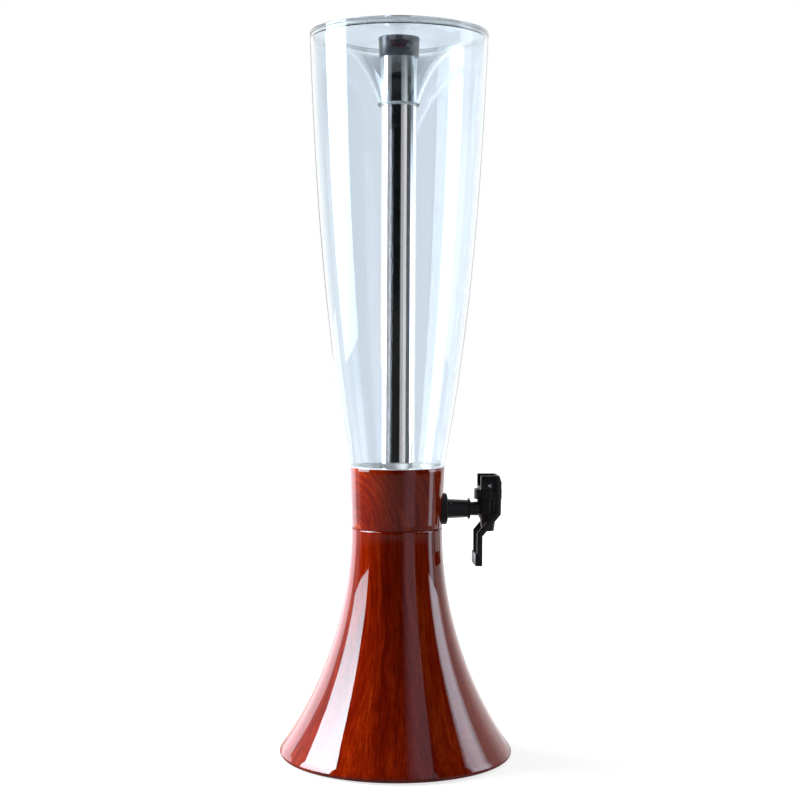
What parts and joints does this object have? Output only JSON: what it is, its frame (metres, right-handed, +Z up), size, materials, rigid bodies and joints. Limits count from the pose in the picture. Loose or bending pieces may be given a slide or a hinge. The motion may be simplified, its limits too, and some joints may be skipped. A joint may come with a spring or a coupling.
{
  "type": "drink tower dispenser",
  "caption": "Table-top drink tower: bell base, collar, clear flared vessel with dished lid, steel ice tube and a self-closing tap with a bail lever.",
  "frame": {"origin": "centre of the base on the surface it stands on", "axes": "+Z up along the tower's axis; +X out along the tap's shank"},
  "size_m": [0.208, 0.208, 0.6435],
  "materials": {
    "wood_finish": "high gloss lacquer over a red-brown wood grain",
    "clear_plastic": "clear, high gloss",
    "polished_steel": "polished along its length",
    "black_plastic": "semi-gloss",
    "dark_plastic": "fine matte",
    "black_rubber": "matte",
    "clear_silicone": "milky, satin",
    "ballast_iron": "rough cast",
    "fastener_steel": "bright"
  },
  "bodies": {
    "root": {"base_shell": "wood_finish", "base_plate": "dark_plastic", "plate_screws": "fastener_steel", "ballast": "ballast_iron", "ballast_screws": "fastener_steel", "foot_pads": "black_rubber", "collar": "wood_finish", "vessel_pad": "black_rubber", "vessel": "clear_plastic", "tap_washer_outer": "black_rubber", "tap_washer_inner": "clear_silicone", "tap_nut": "black_plastic", "tap_shank": "black_plastic", "tap_body": "black_plastic", "bonnet_gasket": "clear_silicone", "bonnet": "black_plastic", "stem_seal": "black_rubber"},
    "lid": {"lid": "clear_plastic", "lid_seal": "clear_silicone", "neck_ring": "clear_silicone"},
    "ice_tube": {"ice_tube": "polished_steel"},
    "tube_cap": {"tube_cap": "black_plastic", "cap_seal": "black_rubber"},
    "stem": {"stem": "dark_plastic", "valve_plug": "clear_silicone", "return_spring": "fastener_steel"},
    "lever": {"lever": "black_plastic", "lever_pin": "fastener_steel"}
  },
  "joints": [
    {"name": "lid_lift", "type": "slide", "parent": "root", "child": "lid", "axis": [0, 0, 1], "range_m": [0, 0.45]},
    {"name": "tube_lift", "type": "slide", "parent": "lid", "child": "ice_tube", "axis": [0, 0, 1], "range_m": [0, 0.45]},
    {"name": "cap_lift", "type": "slide", "parent": "ice_tube", "child": "tube_cap", "axis": [0, 0, 1], "range_m": [0, 0.03]},
    {"name": "stem_lift", "type": "slide", "parent": "root", "child": "stem", "axis": [0, 0, 1], "range_m": [0, 0.0029], "deforming": ["return_spring"]},
    {"name": "lever_push", "type": "hinge", "parent": "stem", "child": "lever", "pos_m": [0.0821, 0, 0.24255], "axis": [0, 1, 0], "range_deg": [0, 16], "stiffness_Nm_per_rad": 0.5, "springref_deg": -17.19}
  ],
  "couplings": [
    {"joint": "stem_lift", "follows": "lever_push", "m_per_rad": 0.0103}
  ]
}
